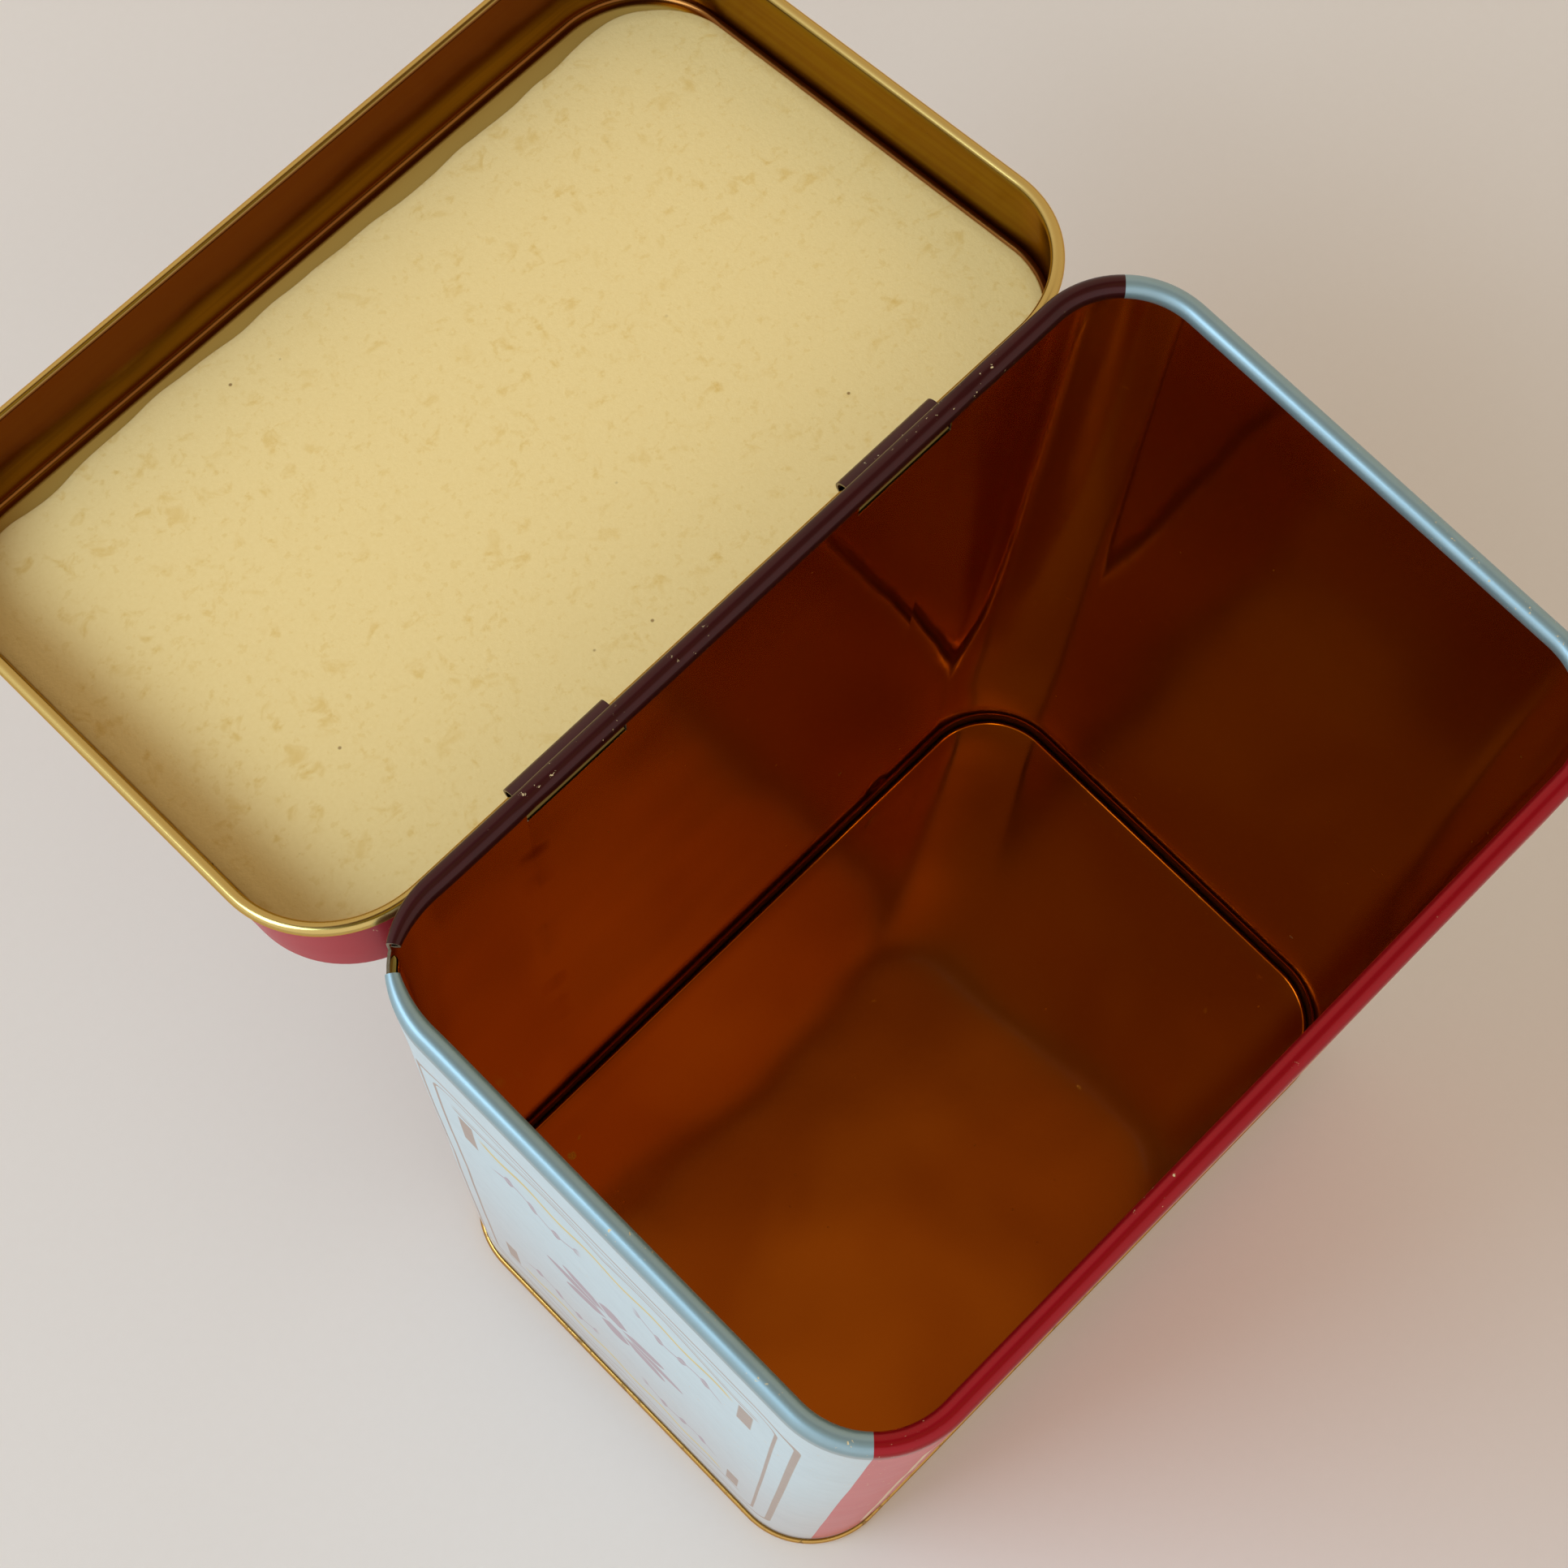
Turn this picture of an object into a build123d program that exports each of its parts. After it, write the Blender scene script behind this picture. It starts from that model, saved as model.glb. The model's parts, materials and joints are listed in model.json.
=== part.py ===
"""Printed tinplate box with a hinged lid, shown wide open.

A wrapped body with a lock-seamed corner and an inward-curled rim, a double-seamed bottom end, a drawn
lid whose outward-curled edge turns in two tabs struck from the rear wall, and a card liner in the lid.

Millimetres. X runs along the long side, +Y points to the hinge side, +Z is up. The origin is the centre of
the body's footprint on the surface that it stands on.
"""
from build123d import *
from math import acos, asin, atan2, cos, degrees, hypot, pi, radians, sin
import os

# ---- driving dimensions -------------------------------------------------------------------------
sheet = 0.3  # tinplate thickness

body_length = 108.0
body_width = 71.0
body_height = 148.0
corner_radius = 11.5  # outside of the body wall
rim_curl = 2.4  # outside diameter of the inward curl
rim_curl_turn = 300.0

side_seam_width = 3.5  # lock seam, folded inside the rear left corner
side_seam_step = 0.6
side_seam_clear = 3.0  # from the seam's top to the rim curl
seam_notch_width = 3.0  # gap left in the rim curl where the sheet's ends meet
seam_notch_below = 0.5  # from the rim curl down to the gap's foot

neck_in = 0.5  # the wall steps in above the double seam
neck_bend = 1.0
neck_top = 4.6
seam_gap = 0.03  # between the layers of the double seam
seam_height = 2.2
panel_height = 3.5  # inside face of the bottom above the resting plane
panel_bend = 0.8
panel_lap = 1.0  # how far the chuck wall's ring runs into the flat panel

lid_gap = 0.9  # lid skirt to body wall, all round
lid_height = 11.4  # hinge axis to the outside of the lid's top
lid_edge_radius = 1.1
lid_lap = 1.0  # how far the rounded edge's ring runs into the flat top
lid_curl = 1.5  # outside diameter of the outward curl
lid_curl_turn = 290.0
lid_stop_gap = 0.05  # lid's top edge to the rear wall when fully open

liner_thickness = 0.8
liner_edge_clear = 0.05  # liner's edge to the foot of the lid's rounded edge, at the ends and rear
liner_front_gap = 2.7
liner_seat_gap = 0.2  # liner to rim when the lid is shut

lug_length = 13.3
lug_spacing = 46.4  # between the middles of the two lugs
lug_curl_gap = 0.55  # from the lid's curl to the inside of the rolled tab
lug_bend = 0.6
lug_wrap = 195.0
lug_side_gap = 0.5  # lug to the ends of the lid's slot
lug_slot_gap = 0.5  # lug to the slot's far edge
lug_relief = 0.15  # tab to its window in the wall

# ---- worked out from them -----------------------------------------------------------------------
curl_bend = (rim_curl - sheet) / 2
lid_curl_bend = (lid_curl - sheet) / 2
lug_radius = lid_curl / 2 + lug_curl_gap + sheet  # outside of the rolled tab
hinge_out = lid_gap + lid_curl / 2  # hinge axis outside the rear wall
hinge_drop = lid_height - sheet - liner_thickness - liner_seat_gap  # hinge axis below the rim
hinge_y = body_width / 2 + hinge_out
hinge_z = body_height - hinge_drop

liner_gap = lid_edge_radius - sheet + liner_edge_clear

# The opened lid leans past level until its top edge meets the rear wall.
stop_arm = lid_height - lid_edge_radius
stop_offset = lid_curl / 2 - sheet + lid_edge_radius
stop_reach = hinge_out - lid_edge_radius - lid_stop_gap
lid_lean = degrees(atan2(stop_offset, stop_arm) + asin(stop_reach / hypot(stop_arm, stop_offset)))
lid_travel = 180 + lid_lean


# ---- sheet-metal helpers ------------------------------------------------------------------------
def straight(length):
    """One straight run of a sheet's section."""
    return ("straight", length, 0)


def bend(radius, turn):
    """One bend of a sheet's section: middle-line radius, and turn in degrees, positive to the left."""
    return ("bend", radius, turn)


def step_point(point, heading, move):
    """The middle line's next point and heading, and the point half way along the move."""
    kind, size, turn = move
    x, z = point
    if kind == "straight":
        dx, dz = cos(radians(heading)), sin(radians(heading))
        return (x + size * dx, z + size * dz), heading, (x + size * dx / 2, z + size * dz / 2), None
    side = 1 if turn > 0 else -1
    from_centre = radians(heading - 90 * side)
    centre = (x - size * cos(from_centre), z - size * sin(from_centre))

    def on_arc(angle):
        return centre[0] + size * cos(angle), centre[1] + size * sin(angle)

    end = on_arc(from_centre + radians(turn))
    return end, heading + turn, on_arc(from_centre + radians(turn / 2)), centre


def shifted(point, heading, offset):
    """A point moved to the left of its heading."""
    x, z = point
    return x - offset * sin(radians(heading)), z + offset * cos(radians(heading))


def sheet_section(start, heading, moves):
    """Face of one bent sheet, of the tinplate's thickness, that follows the moves along its middle."""
    edges = []
    ends = {}
    for offset in (sheet / 2, -sheet / 2):
        point, facing = start, heading
        ends[offset] = [shifted(point, facing, offset)]
        for move in moves:
            after, turned, middle, centre = step_point(point, facing, move)
            first, last = shifted(point, facing, offset), shifted(after, turned, offset)
            if centre is None:
                edges.append(Line(first, last))
            else:
                via = shifted(middle, facing + move[2] / 2, offset)
                edges.append(ThreePointArc(first, via, last))
            point, facing = after, turned
        ends[offset].append(shifted(point, facing, offset))
    left, right = ends[sheet / 2], ends[-sheet / 2]
    edges += [Line(left[0], right[0]), Line(left[1], right[1])]
    return make_face(edges)


def around(section, length, width, radius):
    """Carries a section round a rounded rectangle. The section's x is measured outward from that outline."""
    half_x, half_y = length / 2 - radius, width / 2 - radius
    upright = Plane.XZ * section
    pieces = []
    corners = [(half_x, half_y, 0), (-half_x, half_y, 90), (-half_x, -half_y, 180), (half_x, -half_y, 270)]
    for (x, y, angle), run in zip(corners, [2 * half_x, 2 * half_y] * 2):
        place = Pos(x, y, 0) * Rot(0, 0, angle)
        pieces.append(revolve(place * Pos(radius, 0, 0) * upright, Axis((x, y, 0), (0, 0, 1)), 90))
        along = Vector(0, 1, 0).rotate(Axis.Z, angle + 90)
        pieces.append(extrude(place * Rot(0, 0, 90) * Pos(radius, 0, 0) * upright, amount=run, dir=along))
    return Part() + pieces


def corner_wedge(low_x, high_x, low_z, high_z, width):
    """Block at the middle of the rear left corner; x is measured outward from the body wall."""
    turn = degrees(width / corner_radius)
    section = Pos((low_x + high_x) / 2, (low_z + high_z) / 2) * Rectangle(high_x - low_x, high_z - low_z)
    upright = Plane.XZ * section
    x, y = -body_length / 2 + corner_radius, body_width / 2 - corner_radius
    place = Pos(x, y, 0) * Rot(0, 0, 135 - turn / 2) * Pos(corner_radius, 0, 0)
    return revolve(place * upright, Axis((x, y, 0), (0, 0, 1)), turn)


def struck_from_rear(section, length, x):
    """A section drawn outward from the rear wall, extruded along X about x."""
    plane = Plane((x - length / 2, body_width / 2, 0), x_dir=(0, 1, 0), z_dir=(1, 0, 0))
    return extrude(plane * section, amount=length)


# ---- the pieces ---------------------------------------------------------------------------------
layer = sheet + seam_gap  # pitch of the double seam's layers
wall_in = -neck_in - sheet / 2  # middle of the necked wall, measured from the body's outline
seam_low = sheet + seam_gap + layer + sheet / 2  # middle of the body's lower fold
seam_top = seam_height - layer - sheet / 2


def body_section():
    """From the hook inside the double seam, up the wall, to the end of the rim curl."""
    neck_turn = degrees(acos(1 - neck_in / (2 * neck_bend)))
    neck_rise = 2 * neck_bend * sin(radians(neck_turn))
    hook_top = seam_top - seam_gap
    moves = [
        straight(hook_top - seam_low),
        bend(layer, -180),
        straight(neck_top - neck_rise - seam_low),
        bend(neck_bend, -neck_turn),
        bend(neck_bend, neck_turn),
        straight(body_height - rim_curl / 2 - neck_top),
        bend(curl_bend, rim_curl_turn),
    ]
    return sheet_section((wall_in + 2 * layer, hook_top), -90, moves)


def lug_section():
    """Tab bent out of the rear wall, under, round and over the lid's curled edge."""
    roll = lug_radius - sheet / 2
    moves = [
        bend(lug_bend, -90),
        straight(hinge_out + sheet / 2 - lug_bend),
        bend(roll, lug_wrap),
    ]
    section = sheet_section((-sheet / 2, hinge_z - roll - lug_bend), 90, moves)
    tab = lug_bend * pi / 2 + hinge_out + sheet / 2 - lug_bend + roll * radians(lug_wrap)
    return section, hinge_z - roll - lug_bend, tab


def make_body_shell():
    shell = around(body_section(), body_length, body_width, corner_radius)
    shell += corner_wedge(-sheet - side_seam_step, -sheet / 2, neck_top,
                          body_height - rim_curl - side_seam_clear, side_seam_width)
    shell -= corner_wedge(-rim_curl - sheet, sheet, body_height - rim_curl - seam_notch_below,
                          body_height + sheet, seam_notch_width)
    section, root, tab = lug_section()
    for side in (-1, 1):
        x = side * lug_spacing / 2
        window = Box(lug_length + 2 * lug_relief, 4 * sheet, tab, align=(Align.CENTER, Align.CENTER, Align.MIN))
        shell -= Pos(x, body_width / 2 - sheet / 2, root) * window
        shell += struck_from_rear(section, lug_length, x)
    return shell


def make_bottom_end():
    """From the hook inside the double seam, down and under it, up the chuck wall and across."""
    chuck = wall_in - layer
    floor_bend = 2 * layer - seam_gap
    moves = [
        straight(seam_top - seam_low),
        bend(layer, -180),
        straight(seam_top - sheet / 2 - floor_bend),
        bend(floor_bend, -90),
        straight(4 * layer - 2 * floor_bend),
        bend(floor_bend, -90),
        straight(panel_height - sheet - panel_bend - floor_bend),
        bend(panel_bend, 90),
        straight(panel_lap),
    ]
    ring = around(sheet_section((wall_in + layer, seam_low), 90, moves), body_length, body_width, corner_radius)
    inset = panel_bend + panel_lap / 2 - chuck
    flat = RectangleRounded(body_length - 2 * inset, body_width - 2 * inset, corner_radius - inset)
    return ring + Pos(0, 0, panel_height - sheet) * extrude(flat, amount=sheet)


lid_length = body_length + 2 * lid_gap  # inside faces of the skirt
lid_width = body_width + 2 * lid_gap
lid_top = hinge_z + lid_height
lid_radius = corner_radius + lid_gap


def opened(part):
    """Turns a piece of the shut lid to the fully open position."""
    return part.rotate(Axis((0, hinge_y, hinge_z), (1, 0, 0)), -lid_travel)


def make_lid_shell():
    """Drawn in one piece: flat top, rounded edge, skirt and outward curl, with a slot for each lug."""
    edge = lid_edge_radius - sheet / 2
    moves = [
        straight(lid_lap),
        bend(edge, -90),
        straight(lid_height - sheet / 2 - edge),
        bend(lid_curl_bend, lid_curl_turn),
    ]
    start = (sheet / 2 - edge - lid_lap, lid_top - sheet / 2)
    shell = around(sheet_section(start, 0, moves), lid_length, lid_width, lid_radius)
    inset = edge - sheet / 2 + lid_lap / 2
    flat = RectangleRounded(lid_length - 2 * inset, lid_width - 2 * inset, lid_radius - inset)
    shell += Pos(0, 0, lid_top - sheet) * extrude(flat, amount=sheet)
    slot_low = hinge_z + lid_curl / 2
    slot_high = hinge_z + lug_radius + lug_slot_gap
    slot = Box(lug_length + 2 * lug_side_gap, 3 * sheet, slot_high - slot_low,
               align=(Align.CENTER, Align.CENTER, Align.MIN))
    for side in (-1, 1):
        shell -= Pos(side * lug_spacing / 2, lid_width / 2 + sheet / 2, slot_low) * slot
    return opened(shell)


def make_lid_liner():
    """Card stuck to the inside of the lid's top, cut short of the front edge."""
    length = lid_length - 2 * liner_gap
    width = lid_width - liner_gap - liner_front_gap
    card = RectangleRounded(length, width, lid_radius - liner_gap)
    card = Pos(0, (liner_front_gap - liner_gap) / 2, lid_top - sheet - liner_thickness) * card
    return opened(extrude(card, amount=liner_thickness))


nodes = {
    "body_shell": make_body_shell(),
    "bottom_end": make_bottom_end(),
    "lid_shell": make_lid_shell(),
    "lid_liner": make_lid_liner(),
}

os.makedirs("parts", exist_ok=True)
for name, part in nodes.items():
    export_step(part, f"parts/{name}.step")

print(f"hinge axis y {hinge_y:.3f} z {hinge_z:.3f}, lid travel {lid_travel:.2f} degrees")
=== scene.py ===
"""Looks of the printed hinged-lid tin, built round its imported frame.

Everything is in metres in the frame's axes; detail sizes are written in millimetres times MM. The overall
sizes, the hinge and the lid's travel are read from the frame. The sheet-metal details repeat the part's own.
"""
import json
import math

import bpy
import numpy as np
from mathutils import Matrix, Vector, noise


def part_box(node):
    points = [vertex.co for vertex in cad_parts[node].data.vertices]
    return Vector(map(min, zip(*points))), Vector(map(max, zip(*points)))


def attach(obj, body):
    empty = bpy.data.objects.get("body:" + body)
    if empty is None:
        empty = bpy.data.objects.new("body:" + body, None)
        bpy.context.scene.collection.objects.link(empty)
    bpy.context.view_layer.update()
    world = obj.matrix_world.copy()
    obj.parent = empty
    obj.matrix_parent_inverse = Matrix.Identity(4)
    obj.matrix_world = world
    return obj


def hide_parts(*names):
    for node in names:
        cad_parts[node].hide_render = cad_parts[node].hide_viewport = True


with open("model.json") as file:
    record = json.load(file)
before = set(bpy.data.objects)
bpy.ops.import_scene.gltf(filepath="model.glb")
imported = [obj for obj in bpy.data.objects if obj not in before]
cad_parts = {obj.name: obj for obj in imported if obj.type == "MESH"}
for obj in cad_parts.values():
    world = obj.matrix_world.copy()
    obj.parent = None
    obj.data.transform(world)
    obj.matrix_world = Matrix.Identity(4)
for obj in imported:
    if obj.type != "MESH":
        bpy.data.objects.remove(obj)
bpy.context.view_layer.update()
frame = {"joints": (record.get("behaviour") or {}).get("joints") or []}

MM = 0.001

# ---- sheet-metal details, as on the part; turns are in degrees ----------------------------------
SHEET = 0.3 * MM
SEAM_GAP = 0.03 * MM
LAYER = SHEET + SEAM_GAP
SEAM_HEIGHT = 2.2 * MM
NECK_IN = 0.5 * MM
NECK_BEND = 1.0 * MM
NECK_TOP = 4.6 * MM
PANEL_HEIGHT = 3.5 * MM
PANEL_BEND = 0.8 * MM
CORNER_RADIUS = 11.5 * MM
RIM_CURL = 2.4 * MM
RIM_CURL_TURN = 300.0
NOTCH_WIDTH = 3.0 * MM
NOTCH_BELOW = 0.5 * MM
SIDE_SEAM_WIDTH = 3.5 * MM
SIDE_SEAM_STEP = 0.6 * MM
SIDE_SEAM_CLEAR = 3.0 * MM

LUG_LENGTH = 13.3 * MM
LUG_SPACING = 46.4 * MM
LUG_CURL_GAP = 0.55 * MM
LUG_BEND = 0.6 * MM
LUG_WRAP = 195.0
LUG_RELIEF = 0.15 * MM
LUG_SIDE_GAP = 0.5 * MM
LUG_SLOT_GAP = 0.5 * MM

LID_GAP = 0.9 * MM
LID_HEIGHT = 11.4 * MM
LID_EDGE_RADIUS = 1.1 * MM
LID_CURL = 1.5 * MM
LID_CURL_TURN = 290.0
LINER_THICKNESS = 0.8 * MM
LINER_EDGE_CLEAR = 0.05 * MM
LINER_FRONT_GAP = 2.7 * MM

# ---- details that only the look has -------------------------------------------------------------
NOTCH_TAPER = 9.0 * MM  # the rim curl narrows over this length on each side of the notch
NOTCH_PINCH = 0.4  # the share of its width that the curl loses beside the notch
RIDGE_FOOT = -0.1  # height of the side seam's edges and ends, as a share of its step: inside the wall
LINER_TRIM = 1.2 * MM  # how much shorter still the card's front edge is, on average

# ---- how finely the meshes are cut, and the floor -----------------------------------------------
RUN_STEP = 3 * MM  # along a straight run of a sheet's section
SIDE_STEP = 2.5 * MM  # along the straight sides of an outline
CORNER_STEPS = 24  # round each corner of an outline
LUG_STEPS = 12  # along each lug
SEAM_LEVELS = 30  # up the side seam
BOTTOM_RINGS = 22
LID_RINGS = 16
LINER_RINGS = 40
FLOOR_HALF = 1.5  # from the floor's middle to its sides
FLOOR_CELLS = 8

# ---- read from the frame ------------------------------------------------------------------------
body_low, body_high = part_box("body_shell")
seam_hook_out = 2 * LAYER - NECK_IN  # the body's hook stands this far outside its wall
half_x = body_high.x - seam_hook_out
half_y = -body_low.y - seam_hook_out
rim_z = body_high.z
hinge = frame["joints"][0]
hinge_y, hinge_z = hinge["pos_m"][1:]
lid_travel = math.radians(hinge["range_deg"][1])
hinge_out = hinge_y - half_y

notch_x = half_x - CORNER_RADIUS * (1 - math.sqrt(0.5))  # the notch is at (-notch_x, notch_y)
notch_y = half_y - CORNER_RADIUS * (1 - math.sqrt(0.5))

lid_half_x = half_x + LID_GAP
lid_half_y = half_y + LID_GAP
lid_radius = CORNER_RADIUS + LID_GAP
lid_top = hinge_z + LID_HEIGHT
lid_place = (Matrix.Translation((0, hinge_y, hinge_z)) @ Matrix.Rotation(-lid_travel, 4, "X")
             @ Matrix.Translation((0, -hinge_y, -hinge_z)))

# ---- worked out from these ----------------------------------------------------------------------
wall_in = -NECK_IN - SHEET / 2
seam_low = SHEET + SEAM_GAP + LAYER + SHEET / 2
seam_top = SEAM_HEIGHT - LAYER - SHEET / 2
lug_radius = LID_CURL / 2 + LUG_CURL_GAP + SHEET
lug_roll = lug_radius - SHEET / 2
lug_root = hinge_z - lug_roll - LUG_BEND
lug_tab = LUG_BEND * math.pi / 2 + hinge_out + SHEET / 2 - LUG_BEND + lug_roll * math.radians(LUG_WRAP)
window_half = LUG_LENGTH / 2 + LUG_RELIEF
notch_foot = rim_z - RIM_CURL - NOTCH_BELOW
corner_x, corner_y = half_x - CORNER_RADIUS, half_y - CORNER_RADIUS
notch_turn = math.degrees(NOTCH_WIDTH / CORNER_RADIUS)


# ---- sheet-metal meshes -------------------------------------------------------------------------
def straight(length):
    """One straight run of a sheet's section, cut into steps."""
    return length, 0.0, max(1, math.ceil(length / RUN_STEP))


def bend(radius, turn, step=9.0):
    """One bend of a sheet's section: middle-line radius, and turn in degrees, positive to the left."""
    return radius, turn, max(2, math.ceil(abs(turn) / step))


def trace(start, heading, moves):
    """Points (out, up) along a sheet's middle line."""
    points = [Vector(start)]
    for size, turn, count in moves:
        for _ in range(count):
            part = turn / count
            chord = size / count if turn == 0 else 2 * size * math.sin(math.radians(abs(part)) / 2)
            facing = math.radians(heading + part / 2)
            points.append(points[-1] + chord * Vector((math.cos(facing), math.sin(facing))))
            heading += part
    return points


def outline(half_length, half_width, radius, rear_cuts=(), corner_cuts=(), step=SIDE_STEP):
    """Stations (place, outward normal) anticlockwise round a rounded rectangle, from the foot of its +X side.

    The cuts are further stations: places along the rear side, and degrees round the corner after it.
    """
    run_x = half_length - radius
    run_y = half_width - radius
    sides = [
        (0, half_length, run_y, ()),
        (90, half_width, run_x, rear_cuts),
        (180, half_length, run_y, ()),
        (270, half_width, run_x, ()),
    ]
    stations = []
    for angle, depth, run, cuts in sides:
        turned = Matrix.Rotation(math.radians(angle), 2)
        normal = turned @ Vector((1, 0))
        offsets = set(np.linspace(-run, run, math.ceil(2 * run / step) + 1)) | set(cuts)
        stations += [(turned @ Vector((depth, offset)), normal) for offset in sorted(offsets)]
        sweep_angles = set(np.linspace(0, 90, CORNER_STEPS + 1)[1:-1])
        if angle == 90:
            sweep_angles |= set(corner_cuts)
        centre = turned @ Vector((depth - radius, run))
        for sweep_angle in sorted(sweep_angles):
            out = turned @ Matrix.Rotation(math.radians(sweep_angle), 2) @ Vector((1, 0))
            stations.append((centre + radius * out, out))
    return stations


def held(value):
    """The value, held between 0 and 1."""
    return min(1, max(0, value))


def swell(place, size, seed):
    """Smooth seeded unevenness, about -1 to 1, at that size."""
    return noise.noise(Vector(place) / size + Vector((seed, 1.7 * seed, -0.6 * seed)))


class SheetMesh:
    """The middle surface of a bent sheet, thickened at the end. Its faces wind so that print is outside."""

    def __init__(self):
        self.points = []
        self.faces = []

    def grid(self, rows, closed, flip, skip=None):
        """Joins rows of equal length into quads, and returns the points at the rows' ends.

        skip(middle of a quad) says whether to leave it out.
        """
        base = len(self.points)
        width = len(rows[0])
        self.points += [Vector(point) for row in rows for point in row]
        for i in range(len(rows) - (0 if closed else 1)):
            for j in range(width - 1):
                near, far = base + i * width, base + (i + 1) % len(rows) * width
                quad = [near + j, far + j, far + j + 1, near + j + 1]
                if skip and skip(sum((self.points[k] for k in quad), Vector()) / 4):
                    continue
                self.faces.append(quad[::-1] if flip else quad)
        return [base + i * width + width - 1 for i in range(len(rows))]

    def fill(self, ring, flip, rings, height):
        """Fills a ring of points with ever smaller rings about its middle, raised there by height(place)."""
        centre = sum((self.points[i] for i in ring), Vector()) / len(ring)
        edge = [self.points[i] for i in ring]
        last = ring
        for step in range(1, rings + 1):
            share = 1 - step / rings
            if step < rings:
                fresh = []
                for point in edge:
                    place = centre + (point - centre) * share
                    place.z += height(place)
                    fresh.append(len(self.points))
                    self.points.append(place)
            else:
                self.points.append(centre + Vector((0, 0, height(centre))))
                fresh = [len(self.points) - 1] * len(ring)
            for i in range(len(ring)):
                j = (i + 1) % len(ring)
                quad = [last[i], last[j], fresh[j], fresh[i]]
                quad = quad[:3] if step == rings else quad
                self.faces.append(quad[::-1] if flip else quad)
            last = fresh

    def thicken(self, name, outside, inside, edge):
        """The finished piece: two skins SHEET apart, with a cut edge round every opening."""
        piece = new_piece(name, self.points, self.faces, [outside, inside, edge])
        solid = piece.modifiers.new("sheet", "SOLIDIFY")
        solid.thickness = SHEET
        solid.offset = 0
        solid.material_offset = 1
        solid.material_offset_rim = 2
        return applied(piece)


def new_piece(name, points, faces, materials):
    """A mesh object with these faces, linked to the scene."""
    mesh = bpy.data.meshes.new(name)
    mesh.from_pydata([tuple(p) for p in points], [], faces)
    for material in materials:
        mesh.materials.append(material)
    piece = bpy.data.objects.new(name, mesh)
    bpy.context.scene.collection.objects.link(piece)
    return piece


def applied(piece, sharp=40):
    """Bakes the piece's modifiers into its mesh and smooths it, but for edges that turn by more than sharp."""
    graph = bpy.context.evaluated_depsgraph_get()
    mesh = bpy.data.meshes.new_from_object(piece.evaluated_get(graph))
    piece.modifiers.clear()
    piece.data = mesh
    mesh.shade_smooth()
    mesh.set_sharp_from_angle(angle=math.radians(sharp))
    return piece


def around(stations, section):
    """One row of points up the section at each station."""
    return [[(place.x + normal.x * out, place.y + normal.y * out, up) for out, up in section]
            for place, normal in stations]


# ---- shader arithmetic --------------------------------------------------------------------------
def linear(red, green, blue):
    """A colour given as it looks on a screen, 0 to 255, in the renderer's own linear values."""
    parts = [c / 255 for c in (red, green, blue)]
    return tuple(c / 12.92 if c <= 0.04045 else ((c + 0.055) / 1.055) ** 2.4 for c in parts) + (1.0,)


class Term:
    """A value in a shader tree that can be used in plain arithmetic."""

    def __init__(self, tree, socket):
        self.tree = tree
        self.socket = socket

    def _with(self, kind, *values):
        return self.tree.math(kind, self, *values)

    def __add__(self, other):
        return self._with("ADD", other)

    def __sub__(self, other):
        return self._with("SUBTRACT", other)

    def __rsub__(self, other):
        return self.tree.math("SUBTRACT", other, self)

    def __mul__(self, other):
        return self._with("MULTIPLY", other)

    __radd__ = __add__
    __rmul__ = __mul__

    def __abs__(self):
        return self._with("ABSOLUTE")

    def low(self, other):
        return self._with("MINIMUM", other)

    def high(self, other):
        return self._with("MAXIMUM", other)

    def over(self, start, end):
        """0 below start, 1 above end, smooth between; falls instead where start is above end."""
        return self.tree.ramp(self, start, end)

    def near(self, middle, reach, soft):
        """1 within reach of middle, fading to 0 over soft."""
        return abs(self - middle).over(reach + soft, reach)


class Tree:
    """The node tree of a material or a world, emptied and then filled."""

    def __init__(self, owner):
        owner.use_nodes = True
        self.nodes = owner.node_tree.nodes
        self.links = owner.node_tree.links
        self.nodes.clear()

    def put(self, socket, value):
        """Feeds the socket from a term or another socket, or sets it to a plain value."""
        if isinstance(value, Term):
            value = value.socket
        if isinstance(value, bpy.types.NodeSocket):
            self.links.new(value, socket)
        else:
            socket.default_value = value

    def math(self, kind, *values):
        node = self.nodes.new("ShaderNodeMath")
        node.operation = kind
        for socket, value in zip(node.inputs, values):
            self.put(socket, value)
        return Term(self, node.outputs[0])

    def ramp(self, value, start, end):
        """A smooth step from 0 at start to 1 at end, whichever of the two is greater."""
        node = self.nodes.new("ShaderNodeMapRange")
        node.interpolation_type = "SMOOTHSTEP"
        low, high = (start, end) if start < end else (end, start)
        self.put(node.inputs["Value"], value)
        node.inputs["From Min"].default_value = low
        node.inputs["From Max"].default_value = high
        node.inputs["To Min"].default_value = 0.0 if start < end else 1.0
        node.inputs["To Max"].default_value = 1.0 if start < end else 0.0
        return Term(self, node.outputs["Result"])

    def mix(self, share, first, second):
        """A colour that goes from the first to the second as the share goes from 0 to 1."""
        node = self.nodes.new("ShaderNodeMix")
        node.data_type = "RGBA"
        self.put(node.inputs["Factor"], share)
        self.put(node.inputs["A"], first)
        self.put(node.inputs["B"], second)
        return node.outputs["Result"]

    def length(self, *parts):
        """The length of a vector with these parts."""
        return self.math("SQRT", sum(part * part for part in parts))


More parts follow.
